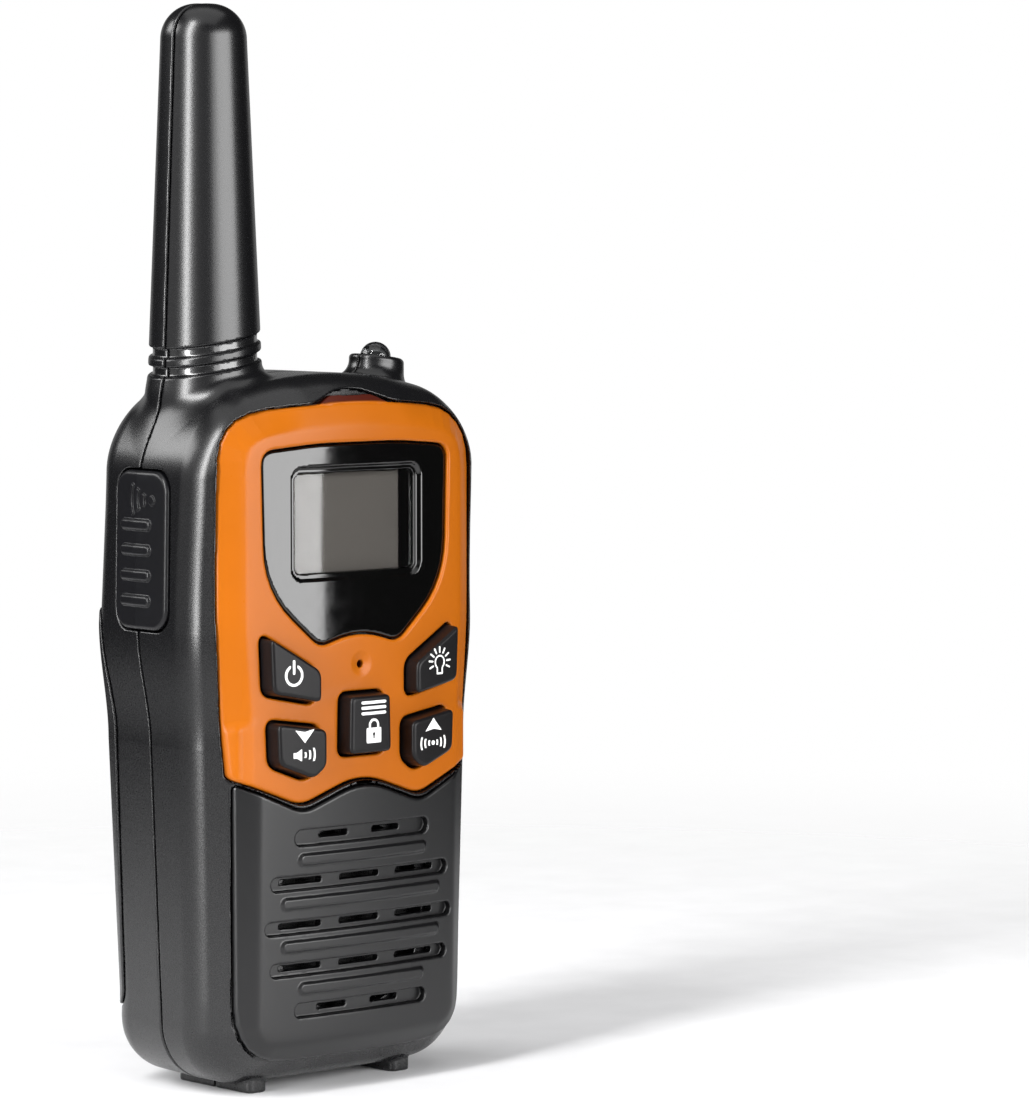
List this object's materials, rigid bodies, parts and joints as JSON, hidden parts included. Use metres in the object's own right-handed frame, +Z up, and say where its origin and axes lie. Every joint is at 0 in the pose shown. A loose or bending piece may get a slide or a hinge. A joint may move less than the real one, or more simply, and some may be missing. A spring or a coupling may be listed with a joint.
{
  "type": "two way radio",
  "caption": "Handheld two way radio with an upright antenna, keys under a display window, a side talk button, a torch lamp and a latched battery cover.",
  "frame": {"origin": "middle of the bounding box at the sole of the feet", "axes": "+Z up along the antenna, -Y out of the front face, +X towards the torch lamp's side"},
  "size_m": [0.0584, 0.0388, 0.17],
  "materials": {
    "charcoal_plastic": "satin moulded, fine spark texture",
    "panel_plastic": "satin moulded",
    "orange_plastic": "semi-gloss moulded",
    "lens_black": "high gloss",
    "lcd_glass": "satin film over glass",
    "diffuser_white": "satin",
    "black_rubber": "matte",
    "key_grey": "satin silicone",
    "talk_rubber": "matte",
    "bright_steel": "tinned",
    "magnet_steel": "plated",
    "cone_film": "pressed film",
    "black_cloth": "woven",
    "board_green": "solder mask",
    "chip_black": "moulded",
    "copper_wire": "bare wire",
    "natural_nylon": "matte",
    "lamp_clear": "clear",
    "contact_steel": "nickel plated",
    "screw_steel": "plated",
    "cell_wrap": "printed wrap left plain"
  },
  "bodies": {
    "radio": {"front_shell": "charcoal_plastic", "rear_shell": "charcoal_plastic", "bezel_frame": "orange_plastic", "display_lens": "lens_black", "lcd_panel": "lcd_glass", "lcd_backlight": "diffuser_white", "lcd_connector": "black_rubber", "keypad_membrane": "black_rubber", "microphone": "bright_steel", "microphone_boot": "black_rubber", "speaker_grille": "panel_plastic", "grille_cloth": "black_cloth", "speaker_basket": "bright_steel", "speaker_cone": "cone_film", "speaker_magnet": "magnet_steel", "main_board": "board_green", "radio_shield": "bright_steel", "control_chip": "chip_black", "talk_switch": "chip_black", "antenna_coil": "copper_wire", "antenna_core": "natural_nylon", "torch_lamp": "lamp_clear", "lamp_board": "board_green", "contact_plate_upper": "contact_steel", "contact_plate_lower": "contact_steel", "battery_cell_1": "cell_wrap", "contact_spring_1": "contact_steel", "battery_cell_2": "cell_wrap", "contact_spring_2": "contact_steel", "battery_cell_3": "cell_wrap", "contact_spring_3": "contact_steel", "shell_screw_1": "screw_steel", "shell_screw_2": "screw_steel", "shell_screw_3": "screw_steel", "shell_screw_4": "screw_steel"},
    "power_key": {"power_key": "key_grey"},
    "light_key": {"light_key": "key_grey"},
    "monitor_key": {"monitor_key": "key_grey"},
    "scan_key": {"scan_key": "key_grey"},
    "menu_key": {"menu_key": "key_grey"},
    "talk_button": {"talk_button": "talk_rubber"},
    "battery_cover": {"battery_cover": "charcoal_plastic"},
    "cover_latch": {"cover_latch": "charcoal_plastic"}
  },
  "joints": [
    {"name": "power_key_press", "type": "slide", "parent": "radio", "child": "power_key", "axis": [0, 1, 0], "range_m": [0, 0.0008], "stiffness_N_per_m": 1500},
    {"name": "light_key_press", "type": "slide", "parent": "radio", "child": "light_key", "axis": [0, 1, 0], "range_m": [0, 0.0008], "stiffness_N_per_m": 1500},
    {"name": "monitor_key_press", "type": "slide", "parent": "radio", "child": "monitor_key", "axis": [0, 1, 0], "range_m": [0, 0.0008], "stiffness_N_per_m": 1500},
    {"name": "scan_key_press", "type": "slide", "parent": "radio", "child": "scan_key", "axis": [0, 1, 0], "range_m": [0, 0.0008], "stiffness_N_per_m": 1500},
    {"name": "menu_key_press", "type": "slide", "parent": "radio", "child": "menu_key", "axis": [0, 1, 0], "range_m": [0, 0.0008], "stiffness_N_per_m": 1500},
    {"name": "talk_button_press", "type": "slide", "parent": "radio", "child": "talk_button", "axis": [1, 0, 0], "range_m": [0, 0.0012], "stiffness_N_per_m": 2000},
    {"name": "battery_cover_off", "type": "slide", "parent": "radio", "child": "battery_cover", "axis": [0, 1, 0], "range_m": [0, 0.025]},
    {"name": "cover_latch_slide", "type": "slide", "parent": "battery_cover", "child": "cover_latch", "axis": [0, 0, 1], "range_m": [0, 0.002]}
  ]
}
